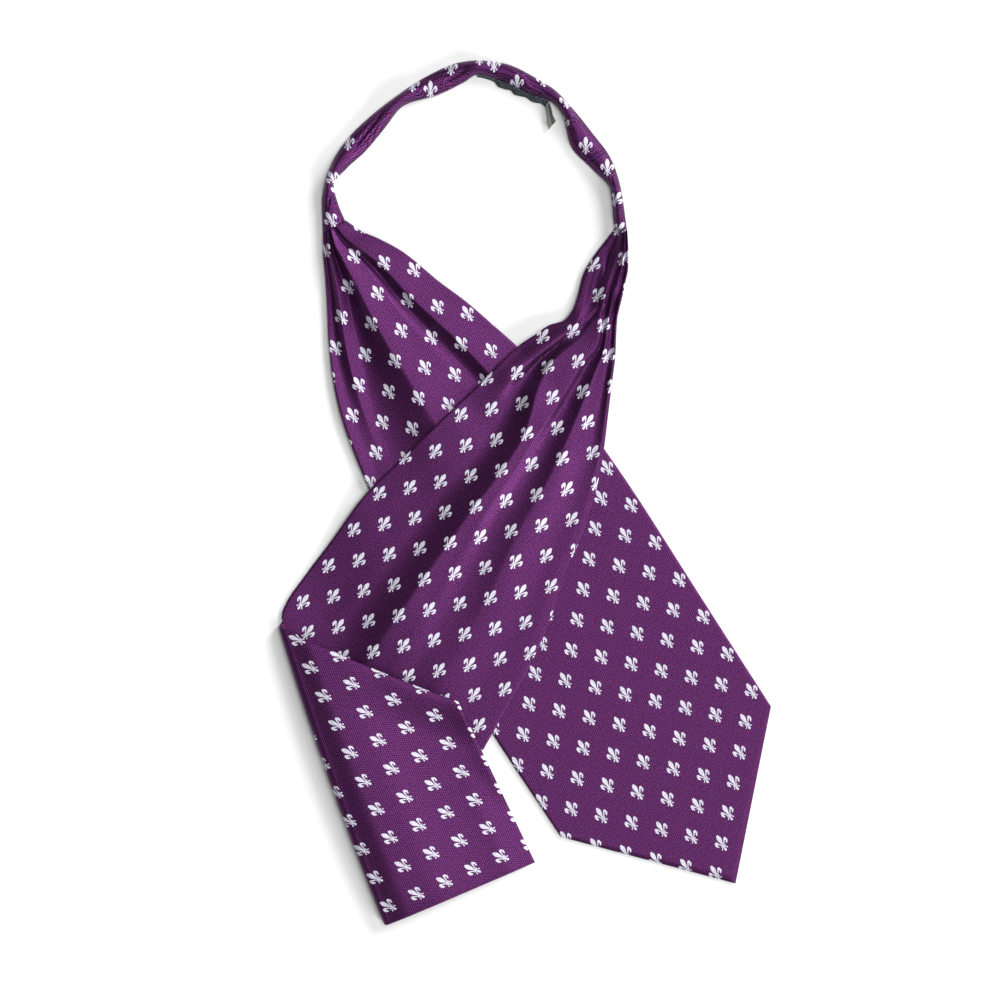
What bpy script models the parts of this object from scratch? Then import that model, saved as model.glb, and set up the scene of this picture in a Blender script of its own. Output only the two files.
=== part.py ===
"""A silk day cravat, laid out flat with its two blades crossed and one blade's end turned over.

Metres, +Z up. The cloth lies on the plane z = 0. X runs across the cravat and Y runs up it, from the
pointed ends to the neck loop. The tables below are in millimetres, in that same frame.
"""

import bpy
import bmesh
import numpy as np
from mathutils import Vector

MM = 0.001

# Wall of the doubled silk with its interlining, and the gap kept between pieces that touch
CLOTH = 2.0
GAP = 0.4

# The lower blade: its axis starts at the gather below the neck band, and its point is a right angle
LOWER_GATHER = np.array((-115.2, 159.0))
LOWER_AXIS = np.array((0.528, -0.849))
LOWER_ACROSS = np.array((0.849, 0.528))
LOWER_SHOULDERS = 382.0
LOWER_POINT_DEPTH = 79.0

# Sections of the lower blade, square to its axis: distance down the axis, reach to the left and right
LOWER_SECTIONS = (
    # down   left    right
    (0.0, -6.8, 9.3),
    (10.0, -13.0, 13.7),
    (20.0, -18.0, 20.5),
    (35.0, -26.0, 28.8),
    (60.0, -39.8, 37.2),
    (80.0, -49.0, 45.0),
    (100.0, -55.7, 51.2),
    (120.0, -60.0, 57.0),
    (150.0, -65.0, 62.5),
    (190.0, -70.7, 68.0),
    (240.0, -75.2, 70.2),
    (300.0, -78.6, 70.8),
    (382.0, -76.5, 71.9),
)

# Pleats of the lower blade. Each row is a line of the cloth that runs down from the gather: the cells
# between it and the next line, how the cloth goes there, its place across the blade from 0 to 1, and its
# height, at each station. "soft" eases at both ends, "rise" steepens up to the next line, and "panel" is
# nearly straight
RISE_ROUNDING = 1.3
PANEL_EVENNESS = 0.6
LOWER_STATIONS = (0.0, 10.0, 20.0, 40.0, 60.0, 80.0, 100.0, 120.0, 140.0, 170.0, 230.0, 382.0)
LOWER_PLEATS = (
    # name, cells, shape, places across, heights
    (
        "left edge", 3, "soft",
        (0, 0, 0, 0, 0, 0, 0, 0, 0, 0, 0, 0),
        (1.6, 1.4, 1.2, 1.2, 1.4, 1.8, 2.2, 2.0, 1.4, 0.5, 0, 0),
    ),
    (
        "left valley", 3, "rise",
        (0.1, 0.07, 0.05, 0.045, 0.055, 0.07, 0.075, 0.075, 0.08, 0.09, 0.11, 0.13),
        (0.8, 0.4, 0.3, 0.2, 0.2, 0.4, 0.8, 0.9, 0.6, 0.2, 0, 0),
    ),
    (
        "left ridge", 2, "panel",
        (0.22, 0.16, 0.145, 0.145, 0.14, 0.135, 0.13, 0.12, 0.12, 0.14, 0.19, 0.25),
        (4.0, 4.6, 5.0, 4.8, 3.8, 2.4, 1.6, 1.1, 0.6, 0.2, 0, 0),
    ),
    (
        "middle valley", 4, "rise",
        (0.27, 0.24, 0.235, 0.24, 0.24, 0.22, 0.19, 0.165, 0.16, 0.18, 0.26, 0.32),
        (1.6, 1, 0.8, 0.6, 0.5, 0.5, 0.5, 0.5, 0.4, 0.1, 0, 0),
    ),
    (
        "middle ridge", 3, "panel",
        (0.34, 0.335, 0.34, 0.375, 0.41, 0.425, 0.435, 0.43, 0.43, 0.44, 0.47, 0.5),
        (4.8, 6.0, 7.0, 8.0, 8.4, 8.6, 8.4, 7.4, 5.4, 2.4, 0.2, 0),
    ),
    (
        "broad back", 2, "panel",
        (0.42, 0.47, 0.52, 0.57, 0.6, 0.62, 0.64, 0.65, 0.65, 0.65, 0.64, 0.63),
        (3.8, 4.4, 4.6, 4.8, 5.0, 5.0, 4.8, 4.0, 2.8, 1.2, 0, 0),
    ),
    (
        "right valley", 3, "rise",
        (0.5, 0.55, 0.6, 0.64, 0.67, 0.69, 0.71, 0.72, 0.73, 0.73, 0.72, 0.72),
        (2.0, 2.4, 2.4, 2.2, 2.4, 2.6, 2.6, 2.2, 1.4, 0.6, 0, 0),
    ),
    (
        "right ridge", 3, "panel",
        (0.58, 0.63, 0.67, 0.72, 0.75, 0.77, 0.79, 0.795, 0.8, 0.82, 0.86, 0.87),
        (3.8, 5.2, 6.2, 7.0, 7.4, 7.4, 6.8, 5.6, 4.0, 2.0, 0.1, 0),
    ),
    (
        "right edge", 0, "soft",
        (1, 1, 1, 1, 1, 1, 1, 1, 1, 1, 1, 1),
        (2.0, 2.2, 2.4, 2.8, 3.0, 3.0, 2.8, 2.0, 1.2, 0.4, 0, 0),
    ),
)
# Rows of cells down it, closer together near the gather, and how late the point starts to reach down
LOWER_ROWS = 38
LOWER_ROW_CROWDING = 1.15
LOWER_POINT_LATENESS = 4

# The upper blade: sections from the neck band to the fold where its end turns over, each a straight
# line from the blade's left edge to its right edge
UPPER_SECTIONS = (
    # down   left x   left y   right x  right y
    (0.0, 53.4, 159.0, 61.2, 157.6),
    (8.0, 48.6, 152.4, 61.8, 146.4),
    (17.0, 42.6, 144.6, 61.8, 136.8),
    (30.0, 34.8, 131.4, 60.0, 126.0),
    (43.0, 31.2, 117.6, 57.6, 115.2),
    (52.0, 28.2, 109.8, 55.2, 104.4),
    (61.0, 22.8, 103.8, 54.6, 94.8),
    (69.0, 15.0, 101.4, 54.0, 82.2),
    (81.0, 6.0, 95.4, 52.2, 67.8),
    (93.0, -3.0, 89.4, 50.4, 53.4),
    (124.0, -27.0, 66.0, 46.2, 20.4),
    (157.0, -51.0, 43.2, 37.8, -15.0),
    (189.0, -75.0, 19.8, 25.8, -43.8),
    (221.0, -96.0, -0.6, 13.8, -78.6),
    (253.0, -115.8, -27.6, 1.2, -106.2),
    (281.0, -130.8, -47.4, -13.8, -133.2),
    (311.0, -142.2, -63.6, -33.0, -168.0),
    (341.0, -145.6, -71.2, -57.0, -213.6),
    (355.0, -145.9, -74.0, -68.0, -235.5),
    (369.0, -145.3, -76.2, -80.8, -257.5),
)

# Pleats of the upper blade, in the same form. The neck section is drawn in as far as the pinch, and
# the blade fans out below it
UPPER_STATIONS = (
    0.0, 40.0, 52.0, 66.0, 80.0, 95.0, 110.0, 124.0,
    140.0, 170.0, 210.0, 250.0, 285.0, 320.0, 345.0,
)
UPPER_PLEATS = (
    # name, cells, shape, places across, heights
    (
        "left edge", 3, "soft",
        (0, 0, 0, 0, 0, 0, 0, 0, 0, 0, 0, 0, 0, 0, 0),
        (0.5, 0.5, 0.6, 1.2, 1.8, 2.0, 2.0, 1.8, 1.2, 0.5, 0.2, 0, 0, 0, 0),
    ),
    (
        "roll top", 3, "soft",
        (0.15, 0.18, 0.2, 0.26, 0.22, 0.18, 0.15, 0.14, 0.14, 0.14, 0.14, 0.14, 0.14, 0.14, 0.14),
        (1, 1, 1.6, 5.0, 5.4, 5.4, 4.8, 3.0, 1.5, 1.2, 1, 0.6, 0.2, 0, 0),
    ),
    (
        "long valley", 4, "rise",
        (0.3, 0.3, 0.3, 0.3, 0.265, 0.225, 0.215, 0.235, 0.25, 0.26, 0.26, 0.245, 0.235, 0.23, 0.23),
        (1.4, 1.4, 1.2, 1.4, 1, 0.8, 0.8, 1, 1.4, 1.8, 1.6, 1.2, 0.8, 0.2, 0),
    ),
    (
        "riser top", 2, "panel",
        (0.48, 0.5, 0.48, 0.42, 0.345, 0.335, 0.365, 0.415, 0.45, 0.448, 0.435, 0.42, 0.412, 0.41, 0.41),
        (3.4, 3.4, 2.4, 4.4, 6.2, 7.4, 8.6, 9.4, 10.0, 10.2, 9.4, 8.4, 6.6, 2.6, 0),
    ),
    (
        "long ridge", 3, "soft",
        (0.62, 0.6, 0.62, 0.71, 0.62, 0.575, 0.55, 0.52, 0.495, 0.487, 0.49, 0.49, 0.49, 0.49, 0.49),
        (5.4, 5.4, 3.4, 6.2, 7.6, 8.6, 9.0, 9.0, 9.2, 9.2, 8.0, 6.8, 5.2, 2.0, 0),
    ),
    (
        "second valley", 3, "rise",
        (0.7, 0.68, 0.7, 0.76, 0.665, 0.63, 0.6, 0.58, 0.575, 0.57, 0.58, 0.59, 0.6, 0.6, 0.6),
        (4.2, 4.2, 2.4, 4.0, 4.2, 4.6, 5.0, 5.2, 5.4, 5.4, 4.8, 3.8, 2.6, 0.8, 0),
    ),
    (
        "high ridge", 4, "soft",
        (0.82, 0.8, 0.8, 0.82, 0.785, 0.755, 0.735, 0.72, 0.705, 0.695, 0.7, 0.7, 0.7, 0.7, 0.7),
        (7.4, 7.4, 4.8, 6.8, 7.8, 8.6, 9.2, 9.2, 9.0, 8.4, 6.8, 4.6, 3.0, 0.8, 0),
    ),
    (
        "third valley", 2, "rise",
        (0.9, 0.89, 0.89, 0.9, 0.9, 0.9, 0.9, 0.9, 0.9, 0.9, 0.89, 0.88, 0.87, 0.87, 0.87),
        (5.6, 5.6, 3.4, 5.0, 5.2, 5.2, 4.8, 4.0, 3.2, 2.4, 1.6, 1, 0.5, 0.1, 0),
    ),
    (
        "outer ridge", 2, "soft",
        (0.97, 0.97, 0.97, 0.97, 0.97, 0.97, 0.97, 0.965, 0.96, 0.95, 0.95, 0.95, 0.95, 0.95, 0.95),
        (7.6, 7.6, 5.4, 7.0, 7.2, 6.8, 5.8, 4.6, 3.4, 2.4, 1.6, 0.9, 0.4, 0.1, 0),
    ),
    (
        "right edge", 0, "soft",
        (1, 1, 1, 1, 1, 1, 1, 1, 1, 1, 1, 1, 1, 1, 1),
        (6.0, 6.0, 4.4, 5.8, 6.2, 6.0, 5.0, 3.6, 2.4, 1.6, 1, 0.5, 0.2, 0, 0),
    ),
)

# Rows of cells down the upper blade: fine over the neck section and the fan, coarser below
UPPER_ROW_SPACING = (
    # row   down
    (0.0, 0.0),
    (11.0, 60.0),
    (27.0, 160.0),
    (50.0, 369.0),
)
UPPER_ROWS = 50

# The turned end: the silhouette of the fold from top to bottom, how far it bows out between them, and how
# far up the fold the hem starts, then the shoulder and the point of the blade's end
FOLD_TOP = np.array((-146.8, -82.0))
FOLD_BOTTOM = np.array((-84.0, -258.6))
FOLD_BOW = 2.2
FOLD_SLANT = 5.0
TURNED_SHOULDER = np.array((-40.0, -124.0))
TURNED_POINT = np.array((6.0, -220.8))
ROLL_RADIUS = 5.0
ROLL_RADIUS_AT_ENDS = 3.4
ROLL_ROWS = 6
TURNED_ROWS = 12
# The turned end's height on the way from the fold to its far edge, above the surface that carries it.
# Past the blade below, the far edge drapes lower by itself. Its upper edge stands off the blade, and bows
# down a little
TURNED_HEIGHTS = (
    # share of the way from the fold, height
    (0.0, 10.0),
    (0.14, 12.6),
    (0.3, 12.2),
    (0.55, 9.2),
    (0.8, 6.2),
    (0.92, 5.5),
    (1.0, 5.5),
)
TURNED_SETTLED = 0.8
TURNED_DRAPE = 1.5
TURNED_DRAPE_FROM = 0.35
TURNED_DRAPE_TO = 0.7
TURNED_EDGE_LIFT = 3.6
TURNED_EDGE_REACH = 0.3
TURNED_EDGE_BOW = 1.8

# How the upper blade bridges the lower one: full height from just outside the lower blade's edges
DRAPE_RAMP = 60.0
DRAPE_FULL = 3.0
BRIDGE_HEIGHTS = (
    # down   height
    (90.0, 9.2),
    (110.0, 7.8),
    (130.0, 6.0),
    (170.0, 2.5),
    (230.0, 0.3),
    (382.0, 0.2),
)
BRIDGE_ACROSS = (
    # across  share of the height
    (0.0, 0.3),
    (0.2, 0.55),
    (0.4, 1.0),
    (0.5, 1.0),
    (0.65, 0.8),
    (0.85, 0.8),
    (1.0, 0.25),
)

# The neck band, from the lower blade's gather over the top to the upper blade: its outer edge, its
# inner edge, and how full it is in the middle. It is narrow and high where it is pinched
BAND_SECTIONS = (
    # name          outer x  outer y  inner x  inner y  rise
    ("left seam", -121.2, 155.7, -107.9, 163.9, 4.0),
    ("left stem", -121.8, 174.0, -111.9, 173.7, 4.5),
    ("first pinch", -120.3, 186.0, -114.6, 184.8, 6.0),
    ("leaf one start", -115.2, 199.8, -106.6, 195.5, 5.0),
    ("leaf one", -106.2, 213.3, -96.0, 205.2, 4.0),
    ("leaf one end", -92.4, 226.8, -84.6, 218.7, 5.0),
    ("second pinch", -76.2, 239.4, -72.3, 233.1, 7.0),
    ("leaf two", -58.5, 250.8, -52.2, 239.4, 4.5),
    ("leaf two end", -39.0, 258.9, -36.6, 246.9, 5.0),
    ("third pinch", -28.8, 260.1, -28.5, 251.4, 6.6),
    ("label start", -13.0, 258.3, -16.3, 248.4, 5.0),
    ("label end", 9.0, 248.1, 3.6, 239.7, 5.0),
    ("label close", 18.6, 241.8, 14.6, 235.8, 6.0),
    ("fourth pinch", 26.7, 233.4, 21.8, 228.6, 7.0),
    ("leaf three", 39.9, 217.2, 27.9, 208.2, 4.0),
    ("leaf three end", 51.9, 200.4, 40.8, 194.4, 5.0),
    ("fifth pinch", 57.5, 183.6, 51.3, 182.4, 6.6),
    ("right seam", 61.3, 158.0, 53.4, 159.4, 5.0),
)
BAND_COLUMNS = 6
BAND_ROWS = 84
BAND_FULLNESS = 2.6

# The woven label seen along the band's inner edge, between two of its sections, narrow at first and
# wavy along its free edge, and the care label's flared tail at its end
LABEL_FROM = "third pinch"
LABEL_TO = "label close"
LABEL_WIDTHS = (
    # share of its length, width
    (0.0, 1.0),
    (0.25, 1.4),
    (0.34, 3.6),
    (0.42, 3.4),
    (0.51, 2.6),
    (0.58, 3.8),
    (0.66, 3.2),
    (0.73, 2.6),
    (0.84, 3.8),
    (0.93, 3.2),
    (1.0, 4.0),
)
LABEL_SLOPE = 0.6
LABEL_WALL = 1.0
LABEL_ROWS = 26
CARE_EDGES = (
    # share  left x  left y  right x  right y
    (0.0, 12.5, 231.7, 14.6, 235.1),
    (0.3, 13.3, 228.8, 15.9, 230.8),
    (0.55, 13.7, 225.4, 16.7, 227.2),
    (0.8, 13.7, 221.9, 17.8, 225.0),
    (1.0, 14.3, 218.6, 18.4, 223.6),
)
CARE_WALL = 1.0
CARE_RISE = 1.6
CARE_ROWS = 8
TAPE_COLUMNS = 2

PURPLE_SILK = (0.112, 0.028, 0.120, 1.0)
NAVY_TAPE = (0.020, 0.035, 0.050, 1.0)
GREY_TAPE = (0.240, 0.270, 0.230, 1.0)
SILK_ROUGHNESS = 0.55
NAVY_ROUGHNESS = 0.8
GREY_ROUGHNESS = 0.6

# Edges between faces that meet at more than this stay sharp
SHARP_ANGLE = np.radians(50.0)


def smooth(share):
    """0 to 1 with level ends."""
    share = min(max(share, 0.0), 1.0)
    return share * share * (3.0 - 2.0 * share)


def read_table(rows, at):
    """A table's other columns at a place in its first column, on cubics that never overshoot a row."""
    rows = np.asarray(rows, float)
    places, values = rows[:, 0], rows[:, 1:]
    at = min(max(at, places[0]), places[-1])
    steps = np.diff(places)[:, None]
    slopes = np.diff(values, axis=0) / steps
    product = slopes[1:] * slopes[:-1]
    total = np.where(product > 0.0, slopes[1:] + slopes[:-1], 1.0)
    inner = np.where(product > 0.0, 2.0 * product / total, 0.0)
    tangents = np.vstack((slopes[:1], inner, slopes[-1:]))
    row = min(int(np.searchsorted(places, at, side="right")) - 1, len(places) - 2)
    step = steps[row][0]
    t = (at - places[row]) / step
    start = (1.0 + 2.0 * t) * (1.0 - t) ** 2
    start_slope = t * (1.0 - t) ** 2 * step
    end = t * t * (3.0 - 2.0 * t)
    end_slope = t * t * (t - 1.0) * step
    return (
        values[row] * start
        + tangents[row] * start_slope
        + values[row + 1] * end
        + tangents[row + 1] * end_slope
    )


def between(shape, share):
    """How far a fold's height has gone from one line of a blade to the next."""
    if shape == "rise":
        return 1.0 - (1.0 - share**2) ** RISE_ROUNDING
    if shape == "panel":
        return PANEL_EVENNESS * share + (1.0 - PANEL_EVENNESS) * smooth(share)
    return smooth(share)


def pleat_tables(stations, pleats):
    """The pleats' places across and heights as two tables, one row for each station."""
    places = [(at, *(pleat[3][i] for pleat in pleats)) for i, at in enumerate(stations)]
    heights = [(at, *(pleat[4][i] for pleat in pleats)) for i, at in enumerate(stations)]
    return places, heights


def pleat_columns(pleats):
    """For each column of a blade's grid: the pleat line before it, and how far across and up it is."""
    columns = []
    for line, (_, cells, shape, _, _) in enumerate(pleats):
        columns += [(line, cell / cells, between(shape, cell / cells)) for cell in range(cells)]
    columns.append((len(pleats) - 2, 1.0, 1.0))
    return columns


def across_and_height(tables, column, down):
    """A column's place across a blade and its height above the surface that carries it."""
    line, share, risen = column
    places = read_table(tables[0], down)
    heights = read_table(tables[1], down)
    across = places[line] + (places[line + 1] - places[line]) * share
    height = heights[line] + (heights[line + 1] - heights[line]) * risen
    return min(max(across, 0.0), 1.0), max(height, 0.0)


def bridge_height(x, y):
    """How high the upper blade is carried at a point, by the lower blade below it or by nothing."""
    offset = np.array((x, y)) - LOWER_GATHER
    down = float(offset @ LOWER_AXIS)
    side = float(offset @ LOWER_ACROSS)
    left, right = read_table(LOWER_SECTIONS, down)
    inside = min(side - left, right - side)
    ramp = smooth((inside + DRAPE_RAMP) / (DRAPE_RAMP - DRAPE_FULL))
    across = (side - left) / (right - left)
    lift = read_table(BRIDGE_HEIGHTS, down)[0] * read_table(BRIDGE_ACROSS, across)[0]
    return ramp * (CLOTH + GAP + lift)


def material(name, colour, roughness):
    made = bpy.data.materials.new(name)
    made.use_nodes = True
    shader = made.node_tree.nodes["Principled BSDF"]
    shader.inputs["Base Color"].default_value = colour
    shader.inputs["Roughness"].default_value = roughness
    shader.inputs["Metallic"].default_value = 0.0
    return made


def sheet(name, columns, rows, place, finish, collection):
    """A wall of cloth: a flat grid of unit cells, extruded once and bent into shape.

    place(column, row, side) gives a point in millimetres. Side 0 is the grid, and side 1 its copy.
    """
    mesh = bmesh.new()
    bmesh.ops.create_grid(mesh, x_segments=columns, y_segments=rows, size=0.5)
    extruded = bmesh.ops.extrude_face_region(mesh, geom=mesh.faces[:], use_keep_orig=True)
    for item in extruded["geom"]:
        if isinstance(item, bmesh.types.BMVert):
            item.co.z = 1.0
    for vertex in mesh.verts:
        column = round((vertex.co.x + 0.5) * columns)
        row = round((vertex.co.y + 0.5) * rows)
        side = round(vertex.co.z)
        vertex.co = Vector(place(column, row, side)) * MM
    bmesh.ops.recalc_face_normals(mesh, faces=mesh.faces[:])
    data = bpy.data.meshes.new(name)
    mesh.to_mesh(data)
    mesh.free()
    data.shade_smooth()
    data.set_sharp_from_angle(angle=SHARP_ANGLE)
    data.materials.append(finish)
    made = bpy.data.objects.new(name, data)
    collection.objects.link(made)
    return made


def lower_blade(finish, collection):
    """The left blade: pleated at the neck band, flat below, with a right-angled point."""
    tables = pleat_tables(LOWER_STATIONS, LOWER_PLEATS)
    columns = pleat_columns(LOWER_PLEATS)

    def place(column, row, side):
        share = (row / LOWER_ROWS) ** LOWER_ROW_CROWDING
        level = share * LOWER_SHOULDERS
        across, height = across_and_height(tables, columns[column], level)
        point = LOWER_POINT_DEPTH * (1.0 - abs(2.0 * across - 1.0))
        down = level + point * share**LOWER_POINT_LATENESS
        left, right = read_table(LOWER_SECTIONS, level)
        x, y = LOWER_GATHER + LOWER_AXIS * down + LOWER_ACROSS * (left + (right - left) * across)
        return x, y, height + side * CLOTH

    return sheet("left_blade", len(columns) - 1, LOWER_ROWS, place, finish, collection)


def upper_blade(finish, collection):
    """The right blade, from the neck band over the lower blade, with its end turned back on top."""
    tables = pleat_tables(UPPER_STATIONS, UPPER_PLEATS)
    columns = pleat_columns(UPPER_PLEATS)
    fold = (FOLD_BOTTOM - FOLD_TOP) / np.linalg.norm(FOLD_BOTTOM - FOLD_TOP)
    outward = np.array((fold[1], -fold[0]))
    last = UPPER_SECTIONS[-1][0]

    def roll_radius(across):
        fullness = (4.0 * across * (1.0 - across)) ** 0.5
        return ROLL_RADIUS_AT_ENDS + (ROLL_RADIUS - ROLL_RADIUS_AT_ENDS) * fullness

    def on_fold(across):
        bow = FOLD_BOW * 4.0 * across * (1.0 - across)
        return FOLD_TOP + (FOLD_BOTTOM - FOLD_TOP) * across + outward * (bow - roll_radius(across))

    def slant(across):
        return fold * FOLD_SLANT * (1.0 - across)

    def laid(column, row, side):
        down = read_table(UPPER_ROW_SPACING, row)[0]
        across, height = across_and_height(tables, columns[column], down)
        left_x, left_y, right_x, right_y = read_table(UPPER_SECTIONS, down)
        x = left_x + (right_x - left_x) * across
        y = left_y + (right_y - left_y) * across
        near_fold = smooth((down - UPPER_SECTIONS[-3][0]) / (last - UPPER_SECTIONS[-3][0]))
        to_fold = on_fold(across) - slant(across) - np.array((
            UPPER_SECTIONS[-1][1] + (UPPER_SECTIONS[-1][3] - UPPER_SECTIONS[-1][1]) * across,
            UPPER_SECTIONS[-1][2] + (UPPER_SECTIONS[-1][4] - UPPER_SECTIONS[-1][2]) * across,
        ))
        x, y = np.array((x, y)) + to_fold * near_fold
        return x, y, bridge_height(x, y) + height + side * CLOTH

    def rolled(column, row, side):
        across, _ = across_and_height(tables, columns[column], last)
        angle = np.pi * row / ROLL_ROWS
        radius = roll_radius(across)
        reach = (radius - side * CLOTH) * np.sin(angle)
        x, y = on_fold(across) + outward * reach - slant(across) * (1.0 - row / ROLL_ROWS)
        return x, y, radius - (radius - side * CLOTH) * np.cos(angle)

    def turned(column, row, side):
        across, _ = across_and_height(tables, columns[column], last)
        share = row / TURNED_ROWS
        start = on_fold(across)
        end = TURNED_SHOULDER + (TURNED_POINT - TURNED_SHOULDER) * across
        settled = smooth(share / TURNED_SETTLED)
        at_edge = 1.0 - smooth(across / TURNED_EDGE_REACH)
        bow = TURNED_EDGE_BOW * 4.0 * share * (1.0 - share) * at_edge
        x, y = start + (end - start) * share + fold * bow
        top = read_table(TURNED_HEIGHTS, share)[0] + TURNED_EDGE_LIFT * at_edge * settled
        top -= 2.0 * (ROLL_RADIUS - roll_radius(across)) * (1.0 - settled)
        past = smooth((share - TURNED_SETTLED) / (1.0 - TURNED_SETTLED))
        past *= smooth((across - TURNED_DRAPE_FROM) / (TURNED_DRAPE_TO - TURNED_DRAPE_FROM))
        top += bridge_height(x, y) * (1.0 - past) - TURNED_DRAPE * past
        return x, y, top - side * CLOTH

    def place(column, row, side):
        if row <= UPPER_ROWS:
            return laid(column, row, side)
        if row <= UPPER_ROWS + ROLL_ROWS:
            return rolled(column, row - UPPER_ROWS, side)
        return turned(column, row - UPPER_ROWS - ROLL_ROWS, side)

    rows = UPPER_ROWS + ROLL_ROWS + TURNED_ROWS
    return sheet("right_blade", len(columns) - 1, rows, place, finish, collection)


def band_table():
    """The band's sections by their distance along its middle line."""
    values = np.array([section[1:] for section in BAND_SECTIONS])
    middles = (values[:, 0:2] + values[:, 2:4]) / 2.0
    lengths = np.concatenate(((0.0,), np.cumsum(np.linalg.norm(np.diff(middles, axis=0), axis=1))))
    return np.column_stack((lengths, values))


def neck_band(finish, collection):
    """The folded neck band, full in its middle and pinched at five places."""
    table = band_table()

    def place(column, row, side):
        outer_x, outer_y, inner_x, inner_y, rise = read_table(table, table[-1][0] * row / BAND_ROWS)
        across = column / BAND_COLUMNS
        x = outer_x + (inner_x - outer_x) * across
        y = outer_y + (inner_y - outer_y) * across
        return x, y, rise * (1.0 - abs(2.0 * across - 1.0) ** BAND_FULLNESS) + side * CLOTH

    return sheet("neck_band", BAND_COLUMNS, BAND_ROWS, place, finish, collection)


def neck_label(finish, collection):
    """The woven label, sewn along the band's inner edge and leaning from it down to the table."""
    table = band_table()
    names = [section[0] for section in BAND_SECTIONS]
    start = table[names.index(LABEL_FROM)][0]
    end = table[names.index(LABEL_TO)][0]

    def place(column, row, side):
        share = row / LABEL_ROWS
        here = read_table(table, start + (end - start) * share)
        width = read_table(LABEL_WIDTHS, share)[0]
        outer, inner = here[0:2], here[2:4]
        inward = (inner - outer) / np.linalg.norm(inner - outer)
        across = column / TAPE_COLUMNS
        x, y = inner + inward * (GAP + width * across)
        return x, y, LABEL_SLOPE * width * (1.0 - across) + side * LABEL_WALL

    return sheet("neck_label", TAPE_COLUMNS, LABEL_ROWS, place, finish, collection)


def care_label(finish, collection):
    """The care label's tail, hanging from the woven label's end into the loop, creased down its middle."""

    def place(column, row, side):
        left_x, left_y, right_x, right_y = read_table(CARE_EDGES, row / CARE_ROWS)
        across = column / TAPE_COLUMNS
        x = left_x + (right_x - left_x) * across
        y = left_y + (right_y - left_y) * across
        return x, y, CARE_RISE * abs(2.0 * across - 1.0) + side * CARE_WALL

    return sheet("care_label", TAPE_COLUMNS, CARE_ROWS, place, finish, collection)


def main():
    for old in list(bpy.data.objects):
        bpy.data.objects.remove(old)
    collection = bpy.data.collections.new("silk_cravat")
    bpy.context.scene.collection.children.link(collection)
    silk = {
        name: material(name, PURPLE_SILK, SILK_ROUGHNESS)
        for name in ("left_blade", "right_blade", "neck_band")
    }
    lower_blade(silk["left_blade"], collection)
    upper_blade(silk["right_blade"], collection)
    neck_band(silk["neck_band"], collection)
    neck_label(material("label_tape", NAVY_TAPE, NAVY_ROUGHNESS), collection)
    care_label(material("care_tape", GREY_TAPE, GREY_ROUGHNESS), collection)


main()
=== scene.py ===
"""The looks of a silk day cravat: fine cloth, woven fleur-de-lis, labels, floor, light and camera.

The tables are in millimetres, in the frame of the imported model: X across the cravat, Y up it, Z up.
"""

import math

import bmesh
import bpy
import numpy as np
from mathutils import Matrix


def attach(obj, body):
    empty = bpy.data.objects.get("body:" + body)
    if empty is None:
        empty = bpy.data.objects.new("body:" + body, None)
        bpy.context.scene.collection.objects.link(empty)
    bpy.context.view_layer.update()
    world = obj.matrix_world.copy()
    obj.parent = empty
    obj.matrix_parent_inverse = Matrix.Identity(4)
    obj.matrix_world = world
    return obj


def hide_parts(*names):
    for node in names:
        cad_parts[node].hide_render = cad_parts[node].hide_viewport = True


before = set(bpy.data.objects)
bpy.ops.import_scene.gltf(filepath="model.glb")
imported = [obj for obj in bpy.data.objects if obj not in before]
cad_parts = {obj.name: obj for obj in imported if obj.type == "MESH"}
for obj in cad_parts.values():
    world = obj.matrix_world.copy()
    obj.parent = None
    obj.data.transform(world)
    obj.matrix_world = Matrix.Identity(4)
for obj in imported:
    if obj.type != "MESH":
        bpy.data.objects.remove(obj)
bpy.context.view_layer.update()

MM = 0.001
PHOTO_PIXEL = 0.6
PHOTO_ORIGIN = (525.0, 494.0)

# Wall of the doubled silk, the gap between pieces, and how far in from an edge the wall is rounded. Near an
# edge the columns of cells stand at these distances from it, or closer where the cloth is narrow
CLOTH = 2.0
GAP = 0.4
EDGE_ROUNDING = 1.7
EDGE_WALL_SHARE = 0.12
EDGE_STEPS = (0.0, 0.12, 0.4, 0.85, 1.4, 2.0)
EDGE_STEPS_SHARE = 0.6
NARROWEST = 0.000001

# The lower blade's axis, and its sections: distance down the axis, reach to the left and right
LOWER_GATHER = np.array((-115.2, 159.0))
LOWER_AXIS = np.array((0.528, -0.849))
LOWER_ACROSS = np.array((0.849, 0.528))
LOWER_SHOULDERS = 382.0
LOWER_POINT_DEPTH = 79.0
LOWER_SECTIONS = (
    # down   left    right
    (0.0, -6.8, 9.3),
    (10.0, -13.0, 13.7),
    (20.0, -18.0, 20.5),
    (35.0, -26.0, 28.8),
    (60.0, -39.8, 37.2),
    (80.0, -49.0, 45.0),
    (100.0, -55.7, 51.2),
    (120.0, -60.0, 57.0),
    (150.0, -65.0, 62.5),
    (190.0, -70.7, 68.0),
    (240.0, -75.2, 70.2),
    (300.0, -78.6, 70.8),
    (382.0, -76.5, 71.9),
)

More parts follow.
